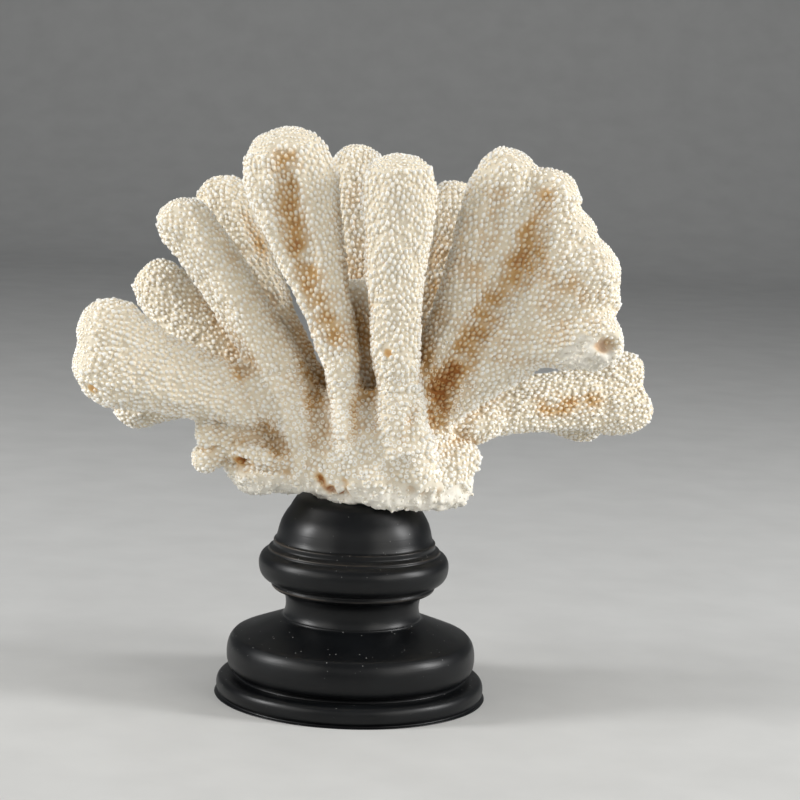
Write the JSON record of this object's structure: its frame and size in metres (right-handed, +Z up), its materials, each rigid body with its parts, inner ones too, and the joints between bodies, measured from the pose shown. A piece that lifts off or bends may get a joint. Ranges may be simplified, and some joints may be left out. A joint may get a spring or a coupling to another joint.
{
  "type": "branching coral on a turned stand",
  "caption": "Bleached branching coral whose warty fingers spread like a fan from a short stump, standing on a turned black wood stand.",
  "frame": {"origin": "centre of the stand's flat underside", "axes": "+Z up along the stand's turned axis, +X to the right and +Y away from someone facing the coral's front"},
  "size_m": [0.1923, 0.0989, 0.1907],
  "materials": {
    "ebonised_wood": "turned, stained black and satin lacquered, lightly worn on its edges",
    "coral_skeleton": "bleached coral skeleton, matt and warty, tan in its hollows"
  },
  "bodies": {
    "root": {"stand": "ebonised_wood", "coral_base": "coral_skeleton", "front_centre_finger": "coral_skeleton", "front_left_finger": "coral_skeleton", "right_fan": "coral_skeleton", "left_finger": "coral_skeleton", "left_arm": "coral_skeleton", "back_centre_finger": "coral_skeleton", "back_right_finger": "coral_skeleton", "back_left_finger": "coral_skeleton", "right_arm": "coral_skeleton", "back_left_arm": "coral_skeleton", "back_left_low_arm": "coral_skeleton", "back_right_low_arm": "coral_skeleton"}
  },
  "joints": []
}
